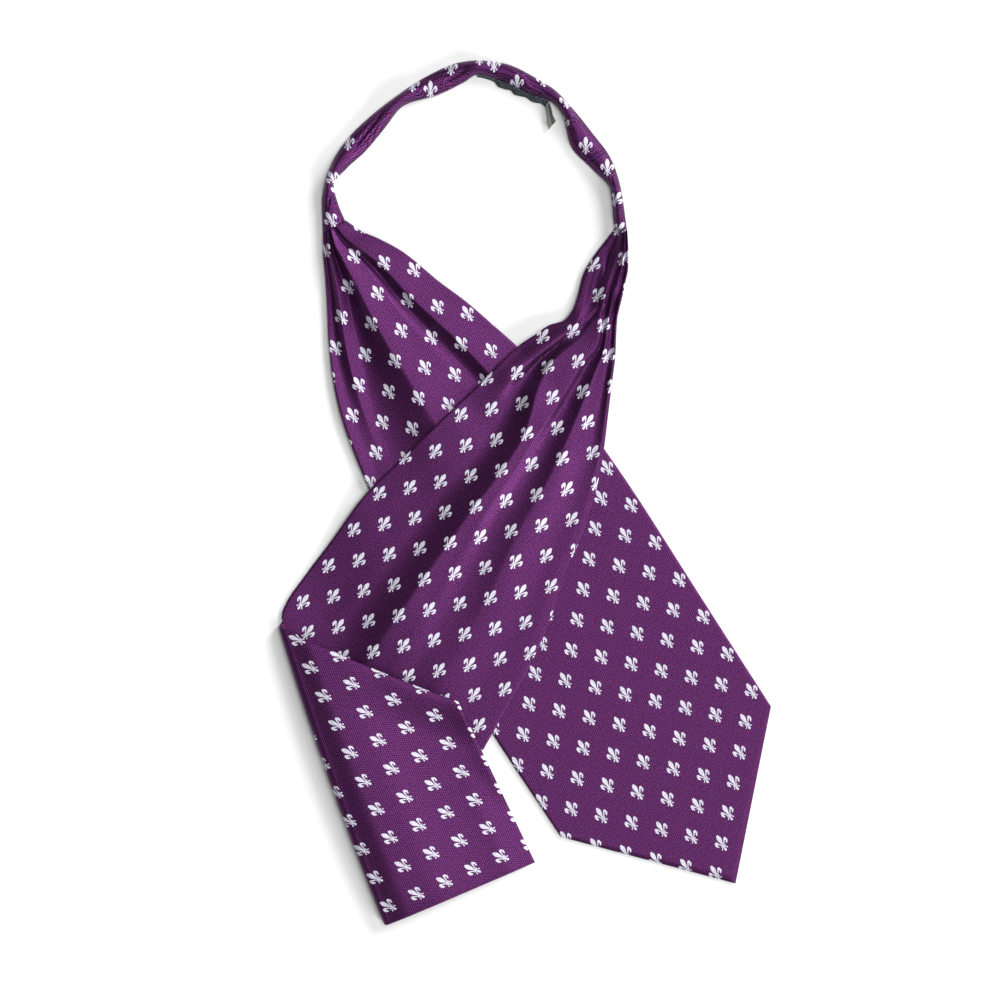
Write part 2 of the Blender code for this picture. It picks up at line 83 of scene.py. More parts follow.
# Lines of the cloth that run down a blade: how the cloth goes from each to the next one, their places
# across the blade from 0 to 1 and their heights, at each station down it. "soft" eases at both ends,
# "rise" is steep just before the next line, and "panel" is nearly straight
RISE_ROUNDING = 1.3
PANEL_EVENNESS = 0.6
LOWER_STATIONS = (0.0, 10.0, 20.0, 40.0, 60.0, 80.0, 100.0, 120.0, 140.0, 170.0, 230.0, 382.0)
LOWER_PLEATS = (
    # name, shape, places across, heights
    (
        "left edge", "soft",
        (0, 0, 0, 0, 0, 0, 0, 0, 0, 0, 0, 0),
        (1.6, 1.4, 1.2, 1.2, 1.4, 1.8, 2.2, 2.0, 1.4, 0.5, 0, 0),
    ),
    (
        "left valley", "rise",
        (0.1, 0.07, 0.05, 0.045, 0.055, 0.07, 0.075, 0.075, 0.08, 0.09, 0.11, 0.13),
        (0.8, 0.4, 0.3, 0.2, 0.2, 0.4, 0.8, 0.9, 0.6, 0.2, 0, 0),
    ),
    (
        "left ridge", "panel",
        (0.22, 0.16, 0.145, 0.145, 0.14, 0.135, 0.13, 0.12, 0.12, 0.14, 0.19, 0.25),
        (4.0, 4.6, 5.0, 4.8, 3.8, 2.4, 1.6, 1.1, 0.6, 0.2, 0, 0),
    ),
    (
        "middle valley", "rise",
        (0.27, 0.24, 0.235, 0.24, 0.24, 0.22, 0.19, 0.165, 0.16, 0.18, 0.26, 0.32),
        (1.6, 1, 0.8, 0.6, 0.5, 0.5, 0.5, 0.5, 0.4, 0.1, 0, 0),
    ),
    (
        "middle ridge", "panel",
        (0.34, 0.335, 0.34, 0.375, 0.41, 0.425, 0.435, 0.43, 0.43, 0.44, 0.47, 0.5),
        (4.8, 6.0, 7.0, 8.0, 8.4, 8.6, 8.4, 7.4, 5.4, 2.4, 0.2, 0),
    ),
    (
        "broad back", "panel",
        (0.42, 0.47, 0.52, 0.57, 0.6, 0.62, 0.64, 0.65, 0.65, 0.65, 0.64, 0.63),
        (3.8, 4.4, 4.6, 4.8, 5.0, 5.0, 4.8, 4.0, 2.8, 1.2, 0, 0),
    ),
    (
        "right valley", "rise",
        (0.5, 0.55, 0.6, 0.64, 0.67, 0.69, 0.71, 0.72, 0.73, 0.73, 0.72, 0.72),
        (2.0, 2.4, 2.4, 2.2, 2.4, 2.6, 2.6, 2.2, 1.4, 0.6, 0, 0),
    ),
    (
        "right ridge", "panel",
        (0.58, 0.63, 0.67, 0.72, 0.75, 0.77, 0.79, 0.795, 0.8, 0.82, 0.86, 0.87),
        (3.8, 5.2, 6.2, 7.0, 7.4, 7.4, 6.8, 5.6, 4.0, 2.0, 0.1, 0),
    ),
    (
        "right edge", "soft",
        (1, 1, 1, 1, 1, 1, 1, 1, 1, 1, 1, 1),
        (2.0, 2.2, 2.4, 2.8, 3.0, 3.0, 2.8, 2.0, 1.2, 0.4, 0, 0),
    ),
)
LOWER_CELLS = (14, 16, 14, 22, 18, 14, 18, 26)
LOWER_ROWS = 250
LOWER_ROW_CROWDING = 1.1
LOWER_POINT_LATENESS = 4

# The upper blade: sections from the neck band to the fold where its end turns over, each a straight
# line from the blade's left edge to its right edge
UPPER_SECTIONS = (
    # down   left x   left y   right x  right y
    (0.0, 53.4, 159.0, 61.2, 157.6),
    (8.0, 48.6, 152.4, 61.8, 146.4),
    (17.0, 42.6, 144.6, 61.8, 136.8),
    (30.0, 34.8, 131.4, 60.0, 126.0),
    (43.0, 31.2, 117.6, 57.6, 115.2),
    (52.0, 28.2, 109.8, 55.2, 104.4),
    (61.0, 22.8, 103.8, 54.6, 94.8),
    (69.0, 15.0, 101.4, 54.0, 82.2),
    (81.0, 6.0, 95.4, 52.2, 67.8),
    (93.0, -3.0, 89.4, 50.4, 53.4),
    (124.0, -27.0, 66.0, 46.2, 20.4),
    (157.0, -51.0, 43.2, 37.8, -15.0),
    (189.0, -75.0, 19.8, 25.8, -43.8),
    (221.0, -96.0, -0.6, 13.8, -78.6),
    (253.0, -115.8, -27.6, 1.2, -106.2),
    (281.0, -130.8, -47.4, -13.8, -133.2),
    (311.0, -142.2, -63.6, -33.0, -168.0),
    (341.0, -145.6, -71.2, -57.0, -213.6),
    (355.0, -145.9, -74.0, -68.0, -235.5),
    (369.0, -145.3, -76.2, -80.8, -257.5),
)
UPPER_STATIONS = (
    0.0, 40.0, 52.0, 66.0, 80.0, 95.0, 110.0, 124.0,
    140.0, 170.0, 210.0, 250.0, 285.0, 320.0, 345.0,
)
UPPER_PLEATS = (
    # name, shape, places across, heights
    (
        "left edge", "soft",
        (0, 0, 0, 0, 0, 0, 0, 0, 0, 0, 0, 0, 0, 0, 0),
        (0.5, 0.5, 0.6, 1.2, 1.8, 2.0, 2.0, 1.8, 1.2, 0.5, 0.2, 0, 0, 0, 0),
    ),
    (
        "roll top", "soft",
        (0.15, 0.18, 0.2, 0.26, 0.22, 0.18, 0.15, 0.14, 0.14, 0.14, 0.14, 0.14, 0.14, 0.14, 0.14),
        (1, 1, 1.6, 5.0, 5.4, 5.4, 4.8, 3.0, 1.5, 1.2, 1, 0.6, 0.2, 0, 0),
    ),
    (
        "long valley", "rise",
        (0.3, 0.3, 0.3, 0.3, 0.265, 0.225, 0.215, 0.235, 0.25, 0.26, 0.26, 0.245, 0.235, 0.23, 0.23),
        (1.4, 1.4, 1.2, 1.4, 1, 0.8, 0.8, 1, 1.4, 1.8, 1.6, 1.2, 0.8, 0.2, 0),
    ),
    (
        "riser top", "panel",
        (0.48, 0.5, 0.48, 0.42, 0.345, 0.335, 0.365, 0.415, 0.45, 0.448, 0.435, 0.42, 0.412, 0.41, 0.41),
        (3.4, 3.4, 2.4, 4.4, 6.2, 7.4, 8.6, 9.4, 10.0, 10.2, 9.4, 8.4, 6.6, 2.6, 0),
    ),
    (
        "long ridge", "soft",
        (0.62, 0.6, 0.62, 0.71, 0.62, 0.575, 0.55, 0.52, 0.495, 0.487, 0.49, 0.49, 0.49, 0.49, 0.49),
        (5.4, 5.4, 3.4, 6.2, 7.6, 8.6, 9.0, 9.0, 9.2, 9.2, 8.0, 6.8, 5.2, 2.0, 0),
    ),
    (
        "second valley", "rise",
        (0.7, 0.68, 0.7, 0.76, 0.665, 0.63, 0.6, 0.58, 0.575, 0.57, 0.58, 0.59, 0.6, 0.6, 0.6),
        (4.2, 4.2, 2.4, 4.0, 4.2, 4.6, 5.0, 5.2, 5.4, 5.4, 4.8, 3.8, 2.6, 0.8, 0),
    ),
    (
        "high ridge", "soft",
        (0.82, 0.8, 0.8, 0.82, 0.785, 0.755, 0.735, 0.72, 0.705, 0.695, 0.7, 0.7, 0.7, 0.7, 0.7),
        (7.4, 7.4, 4.8, 6.8, 7.8, 8.6, 9.2, 9.2, 9.0, 8.4, 6.8, 4.6, 3.0, 0.8, 0),
    ),
    (
        "third valley", "rise",
        (0.9, 0.89, 0.89, 0.9, 0.9, 0.9, 0.9, 0.9, 0.9, 0.9, 0.89, 0.88, 0.87, 0.87, 0.87),
        (5.6, 5.6, 3.4, 5.0, 5.2, 5.2, 4.8, 4.0, 3.2, 2.4, 1.6, 1, 0.5, 0.1, 0),
    ),
    (
        "outer ridge", "soft",
        (0.97, 0.97, 0.97, 0.97, 0.97, 0.97, 0.97, 0.965, 0.96, 0.95, 0.95, 0.95, 0.95, 0.95, 0.95),
        (7.6, 7.6, 5.4, 7.0, 7.2, 6.8, 5.8, 4.6, 3.4, 2.4, 1.6, 0.9, 0.4, 0.1, 0),
    ),
    (
        "right edge", "soft",
        (1, 1, 1, 1, 1, 1, 1, 1, 1, 1, 1, 1, 1, 1, 1),
        (6.0, 6.0, 4.4, 5.8, 6.2, 6.0, 5.0, 3.6, 2.4, 1.6, 1, 0.5, 0.2, 0, 0),
    ),
)
UPPER_CELLS = (18, 16, 22, 16, 14, 18, 18, 14, 10)
UPPER_ROWS = 240

# The turned end: the silhouette of the fold from top to bottom and how far it bows out between them,
# then the shoulder and the point of the blade's end
FOLD_TOP = np.array((-146.8, -82.0))
FOLD_BOTTOM = np.array((-84.0, -258.6))
FOLD_BOW = 2.2
FOLD_SLANT = 5.0
TURNED_SHOULDER = np.array((-40.0, -124.0))
TURNED_POINT = np.array((6.0, -220.8))
ROLL_RADIUS = 5.0
ROLL_RADIUS_AT_ENDS = 3.4
ROLL_ROWS = 24
TURNED_ROWS = 70
TURNED_HEIGHTS = (
    # share of the way from the fold, height
    (0.0, 10.0),
    (0.14, 12.6),
    (0.3, 12.2),
    (0.55, 9.2),
    (0.8, 6.2),
    (0.92, 5.5),
    (1.0, 5.5),
)
TURNED_SETTLED = 0.8
TURNED_DRAPE = 1.5
TURNED_DRAPE_FROM = 0.35
TURNED_DRAPE_TO = 0.7
TURNED_EDGE_LIFT = 3.6
TURNED_EDGE_REACH = 0.3
TURNED_EDGE_BOW = 1.8

# How the upper blade bridges the lower one: full height from just outside the lower blade's edges
DRAPE_RAMP = 60.0
DRAPE_FULL = 3.0
BRIDGE_HEIGHTS = (
    # down   height
    (90.0, 9.2),
    (110.0, 7.8),
    (130.0, 6.0),
    (170.0, 2.5),
    (230.0, 0.3),
    (382.0, 0.2),
)
BRIDGE_ACROSS = (
    # across  share of the height
    (0.0, 0.3),
    (0.2, 0.55),
    (0.4, 1.0),
    (0.5, 1.0),
    (0.65, 0.8),
    (0.85, 0.8),
    (1.0, 0.25),
)

# The neck band: its outer edge, its inner edge, and how full it is in the middle
BAND_SECTIONS = (
    # name          outer x  outer y  inner x  inner y  rise
    ("left seam", -121.2, 155.7, -107.9, 163.9, 4.0),
    ("left stem", -121.8, 174.0, -111.9, 173.7, 4.5),
    ("first pinch", -120.3, 186.0, -114.6, 184.8, 6.0),
    ("leaf one start", -115.2, 199.8, -106.6, 195.5, 5.0),
    ("leaf one", -106.2, 213.3, -96.0, 205.2, 4.0),
    ("leaf one end", -92.4, 226.8, -84.6, 218.7, 5.0),
    ("second pinch", -76.2, 239.4, -72.3, 233.1, 7.0),
    ("leaf two", -58.5, 250.8, -52.2, 239.4, 4.5),
    ("leaf two end", -39.0, 258.9, -36.6, 246.9, 5.0),
    ("third pinch", -28.8, 260.1, -28.5, 251.4, 6.6),
    ("label start", -13.0, 258.3, -16.3, 248.4, 5.0),
    ("label end", 9.0, 248.1, 3.6, 239.7, 5.0),
    ("label close", 18.6, 241.8, 14.6, 235.8, 6.0),
    ("fourth pinch", 26.7, 233.4, 21.8, 228.6, 7.0),
    ("leaf three", 39.9, 217.2, 27.9, 208.2, 4.0),
    ("leaf three end", 51.9, 200.4, 40.8, 194.4, 5.0),
    ("fifth pinch", 57.5, 183.6, 51.3, 182.4, 6.6),
    ("right seam", 61.3, 158.0, 53.4, 159.4, 5.0),
)
BAND_COLUMNS = 30
BAND_ROWS = 460
BAND_FULLNESS = 2.6
SEAM_REACH = 0.25

# The woven label along the band's inner edge, and the care label's tail at its end
LABEL_FROM = "third pinch"
LABEL_TO = "label close"
LABEL_WIDTHS = (
    # share of its length, width
    (0.0, 1.0),
    (0.25, 1.4),
    (0.34, 3.6),
    (0.42, 3.4),
    (0.51, 2.6),
    (0.58, 3.8),
    (0.66, 3.2),
    (0.73, 2.6),
    (0.84, 3.8),
    (0.93, 3.2),
    (1.0, 4.0),
)
LABEL_SLOPE = 0.6
LABEL_WALL = 1.0
LABEL_COLUMNS = 10
LABEL_ROWS = 160
CARE_EDGES = (
    # share  left x  left y  right x  right y
    (0.0, 12.5, 231.7, 14.6, 235.1),
    (0.3, 13.3, 228.8, 15.9, 230.8),
    (0.55, 13.7, 225.4, 16.7, 227.2),
    (0.8, 13.7, 221.9, 17.8, 225.0),
    (1.0, 14.3, 218.6, 18.4, 223.6),
)
CARE_WALL = 1.0
CARE_RISE = 1.6
CARE_RIB = 0.18
CARE_RIBS = 4
CARE_COLUMNS = 20
CARE_ROWS = 60

# The woven repeat: one fleur-de-lis a cell, on a square lattice that hangs straight in each blade.
# The lattices are written in pixels of the photo: a motif's place and the steps to its neighbours
REPEAT = 18.5
LATTICES = {
    # region: motif, first step, second step
    "left fan": ((394.98, 360.88), (29.849, 6.73), (-6.349, 30.371)),
    "lower right": ((624.97, 693.56), (30.027, 6.867), (-5.979, 30.347)),
    "right blade": ((480.77, 536.37), (4.854, 30.393), (-30.373, 5.793)),
    "turned end": ((404.62, 795.34), (28.069, -12.255), (13.204, 28.144)),
}
BLEND_FROM = 150.0
BLEND_TO = 200.0
BLANK = (0.5, 0.5)

# Creases, as lines in pixels of the photo: how deep each goes (or rises, where the depth is
# negative) and how far it reaches to either side, in millimetres
BAND_CREASES = (
    # from x  from y  to x    to y    depth  reach
    (381.4, 115.0, 368.6, 131.4, 1.5, 0.9),
    (368.6, 131.4, 357.1, 145.7, 1.5, 1.0),
    (376.5, 129.0, 362.9, 145.0, 0.9, 0.8),
    (389.0, 105.5, 381.4, 115.0, 0.8, 0.7),
    (464.5, 73.0, 446.0, 82.8, 1.4, 0.9),
    (452.0, 69.5, 425.0, 81.5, 0.6, 0.8),
    (423.0, 93.8, 409.0, 99.6, 0.8, 0.9),
    (408.0, 91.5, 391.5, 105.0, 0.6, 0.7),
    (331.6, 167.5, 327.6, 181.5, 1.0, 0.8),
    (330.5, 196.5, 328.5, 208.0, 0.6, 0.7),
    (496.0, 66.5, 520.0, 77.0, 1.0, 0.8),
    (500.5, 76.5, 524.0, 84.5, 0.8, 0.9),
    (523.0, 76.5, 538.6, 86.5, 1.2, 0.9),
    (538.6, 86.5, 553.0, 93.5, 1.1, 0.9),
    (529.0, 85.0, 548.0, 95.0, 0.9, 0.8),
    (566.5, 104.0, 584.3, 125.7, 1.5, 0.9),
    (584.3, 125.7, 598.6, 142.9, 1.5, 1.0),
    (598.6, 142.9, 610.0, 158.6, 1.2, 0.9),
    (562.0, 117.0, 574.0, 134.0, 0.8, 0.8),
    (573.0, 147.0, 596.0, 170.0, 0.6, 1.0),
    (611.0, 178.0, 615.0, 196.0, 0.7, 0.6),
    (621.0, 206.0, 624.0, 226.0, 0.6, 0.6),
)
NECK_CREASES = (
    # from x  from y  to x    to y    depth  reach
    (615.5, 240.5, 607.1, 255.7, 1.0, 1.1),
    (607.1, 255.7, 605.7, 268.6, 1.1, 1.2),
    (605.7, 268.6, 606.8, 280.0, 0.9, 1.0),
    (605.5, 270.0, 601.5, 279.0, 0.5, 0.9),
    (621.8, 264.0, 615.7, 282.9, 0.9, 0.9),
    (615.7, 282.9, 614.3, 311.4, 1.1, 1.0),
    (611.8, 284.0, 610.5, 310.0, -0.6, 0.9),
    (623.2, 281.0, 619.3, 311.4, 0.9, 0.8),
    (577.1, 305.7, 597.1, 308.0, 0.5, 1.3),
    (597.1, 308.0, 618.0, 314.5, 0.8, 1.2),
    (596.5, 312.0, 587.1, 322.9, 1.2, 1.2),
    (587.1, 322.9, 579.5, 333.0, 1.5, 1.2),
    (579.5, 333.0, 563.0, 347.5, 1.6, 1.3),
    (563.0, 347.5, 545.0, 363.0, 0.9, 1.3),
)
CREASE_FADE = 3.0

# Which way the twill's ribs run on each region, in degrees from +X, and whether its second direction
# leans to their right (1) or to their left (-1)
RIBS = {
    # region: angle, hand
    "left blade": (132.0, -1.0),
    "right blade": (50.0, 1.0),
    "turned end": (113.0, 1.0),
}
BAND_RIB_TURN = 0.7

# Motifs on the neck band, in pixels of the photo, and how far each leans from upright, in degrees. Each
# takes the cloth around it, out to this share of the repeat
BAND_MOTIF_SHARE = 0.45
BAND_MOTIFS = (
    # x      y      lean
    (333.0, 179.0, 33.0),
    (338.0, 188.0, 33.0),
    (331.0, 220.0, 33.0),
    (348.0, 142.0, 0.0),
    (413.0, 84.0, -4.0),
    (430.6, 90.0, 0.0),
    (451.0, 67.5, 0.0),
    (479.6, 57.5, 0.0),
    (494.0, 64.5, 0.0),
    (517.0, 83.6, 0.0),
    (543.0, 79.0, 8.0),
    (566.0, 101.0, 8.0),
    (562.5, 124.0, 0.0),
    (585.5, 146.0, 0.0),
    (607.0, 168.0, 0.0),
    (616.0, 199.6, -35.0),
    (619.0, 230.0, -35.0),
    (624.0, 261.0, -35.0),
)

# The fleur-de-lis, in millimetres from its middle, as tapered strokes. Its left half mirrors its right,
# apart from the eye
STROKES = (
    # name            from x  from y  radius  to x   to y   radius
    ("petal base", 0.0, -1.9, 0.22, 0.0, 1.7, 1.25),
    ("petal middle", 0.0, 1.7, 1.25, 0.0, 2.9, 1.32),
    ("petal tip", 0.0, 2.9, 1.32, 0.0, 4.2, 0.8),
    ("side stem", 0.65, -1.8, 0.22, 2.4, 0.7, 0.42),
    ("side top", 2.35, 0.7, 0.45, 3.1, 1.1, 0.82),
    ("side lobe", 3.1, 1.1, 0.82, 3.45, -0.2, 0.72),
    ("side hook", 3.45, -0.2, 0.72, 2.95, -1.4, 0.36),
    ("waist", 0.0, -2.2, 0.26, 1.35, -2.15, 0.26),
    ("foot", 0.0, -2.5, 0.28, 0.0, -4.8, 0.7),
    ("side foot", 0.55, -2.6, 0.22, 1.75, -3.9, 0.36),
)
STROKE_SOFTNESS = 0.1
# The dark eye that the right lobe curls round
EYE_PLACE = (2.7, -0.1, 0.0)
EYE_RADIUS = 0.4

SILK = (0.146, 0.031, 0.158)
SILK_DARK = (0.014, 0.003, 0.016)
SILK_CRIMSON = (0.188, 0.027, 0.117)
SILK_VIOLET = (0.119, 0.04, 0.212)
MOTIF_WHITE = (0.73, 0.7, 0.82)
MOTIF_SHADE = (0.53, 0.52, 0.62)
# Distance between the twill's ribs, the angle of its second direction to them, how far they wander, and
# how many patches of wandering there are to a millimetre
BLADE_RIBS = 1.15
BAND_RIBS = 1.5
CROSSING_SLANT = math.radians(64.0)
WANDER = 0.9
WANDER_PATCHES = 0.11
# Patches of tone for each rib, across and along it, patches of hue for each of tone, and patches of fleck
# to a millimetre. The offsets set the noises apart
YARN_ACROSS = 1.8
YARN_ALONG = 1.4
HUE_PATCHES = 0.8
HUE_OFFSET = (37.0, 11.0, 5.0)
FLECK_PATCHES = 0.85
FLECK_OFFSET = (5.0, 91.0, 3.0)
# How light each makes the silk, at its lowest and its highest, where 0 is SILK_DARK and 1 is full colour,
# and the stretch of each wave or noise that this happens over
RIB_LIGHT = (-0.25, 0.6)
CROSSING_LIGHT = (-0.2, 0.4)
TONE_LIGHT = (-0.25, 0.85)
WAVE_SPAN = (0.2, 0.8)
TONE_SPAN = (0.34, 0.66)
CRIMSON_SPAN = (0.5, 0.66)
VIOLET_SPAN = (0.5, 0.34)
FLECK_SPAN = (0.35, 0.62)
# Gloss and relief. The silk has a metal-like lustre, and the white motif almost none
ROUGHNESS = 0.46
ROUGHNESS_SPREAD = 0.12
SILK_LUSTRE = 0.82
MOTIF_LUSTRE_DROP = 0.78
RIB_RELIEF = 0.6
TONE_RELIEF = 0.4
MOTIF_RELIEF = 1.1
RELIEF_DEPTH = 0.00006

# The labels' tape, with its flecks and threads for each metre of it
TAPES = {
    # name: colour, fleck colour, roughness
    "label_tape": ((0.007, 0.013, 0.02), (0.085, 0.13, 0.155), 0.75),
    "care_tape": ((0.12, 0.135, 0.11), (0.25, 0.27, 0.235), 0.7),
}
TAPE_FLECKS = 1100.0
TAPE_FLECK_SPAN = (0.52, 0.66)
TAPE_THREADS = 2600.0
TAPE_RELIEF_DEPTH = 0.0002

CAMERA_LENS = 150.0
CAMERA_SENSOR = 36.0
PICTURE_SIDE = 0.6
PICTURE_MIDDLE = (-0.015, -0.0036)
SUNS = (
    # name      azimuth  elevation  angle  strength
    ("key", 38.0, 26.0, 26.0, 2.7),
    ("side", -40.0, 24.0, 24.0, 2.3),
    ("overhead", 20.0, 75.0, 34.0, 1.49),
)
FILL_STRENGTH = 0.115
FLOOR_SIDE = 8.0
FLOOR_DEPTH = 0.0001
FLOOR_COLOUR = (0.93, 0.93, 0.93, 1.0)
FLOOR_ROUGHNESS = 0.9


def smooth(share):
    """0 to 1 with level ends."""
    share = np.clip(share, 0.0, 1.0)
    return share * share * (3.0 - 2.0 * share)


def read_table(rows, at):
    """A table's other columns at places in its first column, on cubics that never overshoot a row."""
    rows = np.asarray(rows, float)
    places, values = rows[:, 0], rows[:, 1:]
    at = np.clip(np.atleast_1d(np.asarray(at, float)), places[0], places[-1])
    steps = np.diff(places)[:, None]
    slopes = np.diff(values, axis=0) / steps
    product = slopes[1:] * slopes[:-1]
    total = np.where(product > 0.0, slopes[1:] + slopes[:-1], 1.0)
    inner = np.where(product > 0.0, 2.0 * product / total, 0.0)
    tangents = np.vstack((slopes[:1], inner, slopes[-1:]))
    row = np.minimum(np.searchsorted(places, at, side="right") - 1, len(places) - 2)
    step = steps[row]
    t = (at - places[row])[:, None] / step
    start = (1.0 + 2.0 * t) * (1.0 - t) ** 2
    start_slope = t * (1.0 - t) ** 2 * step
    end = t * t * (3.0 - 2.0 * t)
    end_slope = t * t * (t - 1.0) * step
    return (
        values[row] * start
        + tangents[row] * start_slope
        + values[row + 1] * end
        + tangents[row + 1] * end_slope
    )


def column_of(table, at):
    """The one value column of a table, with the shape of at."""
    at = np.asarray(at, float)
    return read_table(table, at.ravel())[:, 0].reshape(at.shape)


def between(shape, share):
    """How far a fold's height has gone from one line of a blade to the next."""
    if shape == "rise":
        return 1.0 - (1.0 - share**2) ** RISE_ROUNDING
    if shape == "panel":
        return PANEL_EVENNESS * share + (1.0 - PANEL_EVENNESS) * smooth(share)
    return smooth(share)


def pleated(stations, pleats, cells, down, width):
    """Places across a blade and heights of all its columns, one row for each distance down it."""
    places = [column_of(list(zip(stations, pleat[2])), down) for pleat in pleats]
    heights = [column_of(list(zip(stations, pleat[3])), down) for pleat in pleats]
    across_columns, height_columns = [], []
    last = len(pleats) - 2
    for line in range(last + 1):
        shares = [np.full(len(down), cell / cells[line]) for cell in range(cells[line] + (line == last))]
        span = np.maximum((places[line + 1] - places[line]) * width, NARROWEST)
        for step, inset in enumerate(EDGE_STEPS):
            inset_share = np.minimum(inset / span, EDGE_STEPS_SHARE * inset / EDGE_STEPS[-1])
            if line == 0:
                shares[step] = inset_share
            if line == last:
                shares[-1 - step] = 1.0 - inset_share
        for share in shares:
            across_columns.append(places[line] + (places[line + 1] - places[line]) * share)
            rise = between(pleats[line][1], share)
            height_columns.append(heights[line] + (heights[line + 1] - heights[line]) * rise)
    across = np.clip(np.stack(across_columns, axis=1), 0.0, 1.0)
    return across, np.maximum(np.stack(height_columns, axis=1), 0.0)


def bridge_height(points):
    """How high the upper blade is carried at points, by the lower blade below it or by nothing."""
    offset = points - LOWER_GATHER
    down = offset @ LOWER_AXIS
    side = offset @ LOWER_ACROSS
    reach = read_table(LOWER_SECTIONS, down.ravel())
    left = reach[:, 0].reshape(down.shape)
    right = reach[:, 1].reshape(down.shape)
    inside = np.minimum(side - left, right - side)
    ramp = smooth((inside + DRAPE_RAMP) / (DRAPE_RAMP - DRAPE_FULL))
    lift = column_of(BRIDGE_HEIGHTS, down) * column_of(BRIDGE_ACROSS, (side - left) / (right - left))
    return ramp * (CLOTH + GAP + lift)


def creased(plan, height, creases):
    """Heights of a piece with its listed creases, which fade out at their ends."""
    for from_x, from_y, to_x, to_y, depth, reach in creases:
        start = from_photo((from_x, from_y))
        way = from_photo((to_x, to_y)) - start
        length = np.linalg.norm(way)
        way = way / length
        along = (plan - start) @ way
        aside = (plan - start) @ np.array((-way[1], way[0]))
        begun = smooth(along / (2.0 * CREASE_FADE) + 0.5)
        unfinished = smooth((length - along) / (2.0 * CREASE_FADE) + 0.5)
        height = height - depth * np.exp(-((aside / reach) ** 2)) * begun * unfinished
    return np.maximum(height, 0.0)


def rounded(skins, sewn=()):
    """Closes a sheet's wall to a thin rim along its edges, like a turned seam, but not where it is sewn."""
    middle = skins.mean(axis=0)
    rows, columns = middle.shape[:2]

    def inset(axis):
        steps = np.linalg.norm(np.diff(middle, axis=axis), axis=2)
        zero = np.zeros((rows, 1) if axis == 1 else (1, columns))
        walked = np.concatenate((zero, np.cumsum(steps, axis=axis)), axis=axis)
        total = walked[:, -1:] if axis == 1 else walked[-1:, :]
        to_first = np.full_like(walked, np.inf) if axis == 0 and "first" in sewn else walked
        to_last = np.full_like(walked, np.inf) if axis == 0 and "last" in sewn else total - walked
        return np.minimum(to_first, to_last)

    edge = np.minimum(inset(0), inset(1))
    depth = np.clip(edge / EDGE_ROUNDING, 0.0, 1.0)
    share = EDGE_WALL_SHARE + (1.0 - EDGE_WALL_SHARE) * np.sqrt(1.0 - (1.0 - depth) ** 2)
    return middle + (skins - middle) * share[None, :, :, None]


def sheet(name, skins, uvs, threads, finish):
    """A wall of cloth from two skins, each a grid of points in millimetres, closed round its rim."""
    sides, rows, columns = skins.shape[:3]
    mesh = bmesh.new()
    bmesh.ops.create_grid(mesh, x_segments=columns - 1, y_segments=rows - 1, size=0.5)
    extruded = bmesh.ops.extrude_face_region(mesh, geom=mesh.faces[:], use_keep_orig=True)
    for item in extruded["geom"]:
        if isinstance(item, bmesh.types.BMVert):
            item.co.z = 1.0
    data = bpy.data.meshes.new(name)
    mesh.to_mesh(data)
    mesh.free()
    grid = np.empty(len(data.vertices) * 3, np.float32)
    data.vertices.foreach_get("co", grid)
    grid = grid.reshape(-1, 3)
    column = np.rint((grid[:, 0] + 0.5) * (columns - 1)).astype(int)
    row = np.rint((grid[:, 1] + 0.5) * (rows - 1)).astype(int)
    side = np.rint(grid[:, 2]).astype(int)
    placed = skins[side, row, column] * MM
    data.vertices.foreach_set("co", placed.astype(np.float32).ravel())
    corners = np.empty(len(data.loops), np.int32)
    data.loops.foreach_get("vertex_index", corners)
    starts = np.empty(len(data.polygons), np.int32)
    data.polygons.foreach_get("loop_start", starts)
    counts = np.empty(len(data.polygons), np.int32)
    data.polygons.foreach_get("loop_total", counts)
    face = np.repeat(np.arange(len(starts)), counts)
    face_sides = np.bincount(face, weights=side[corners])
    on_rim = ((face_sides > 0) & (face_sides < counts))[face]
    cloth = uvs(placed / MM, side, row, column, corners, face)
    cloth[on_rim] = BLANK
    for layer, values in (("repeat", cloth), ("threads", threads(placed / MM, side, row)[corners])):
        uv = data.uv_layers.new(name=layer)
        uv.data.foreach_set("uv", values.astype(np.float32).ravel())
    data.update()
    data.validate()
    tidy = bmesh.new()
    tidy.from_mesh(data)
    bmesh.ops.recalc_face_normals(tidy, faces=tidy.faces[:])
    tidy.to_mesh(data)
    tidy.free()
    data.shade_smooth()
    data.materials.append(finish)
    made = bpy.data.objects.new(name, data)
    bpy.context.scene.collection.objects.link(made)
    return made


def from_photo(pixel):
    """A pixel of the photo as a place on the table, in millimetres."""
    x = (pixel[0] - PHOTO_ORIGIN[0]) * PHOTO_PIXEL
    y = (PHOTO_ORIGIN[1] - pixel[1]) * PHOTO_PIXEL
    return np.array((x, y))


def lattice(region, points):
    """Where points lie in a region's repeat: whole numbers are the middles of motifs."""
    start, first, second = LATTICES[region]
    steps = np.array((first, second)) * (PHOTO_PIXEL, -PHOTO_PIXEL)
    return (points - from_photo(start)) @ np.linalg.inv(steps)


def lower_repeat(points, side, row, column, corners, face):
    """The left blade's repeat: its fan and its flat end hang a little differently."""
    down = (points[:, :2] - LOWER_GATHER) @ LOWER_AXIS
    fan = lattice("left fan", points[:, :2])
    end = lattice("lower right", points[:, :2])
    middle = LOWER_GATHER + LOWER_AXIS * (BLEND_FROM + BLEND_TO) / 2.0
    end -= np.rint(lattice("lower right", middle) - lattice("left fan", middle))
    share = smooth((down - BLEND_FROM) / (BLEND_TO - BLEND_FROM))[:, None]
    return (fan + (end - fan) * share)[corners]


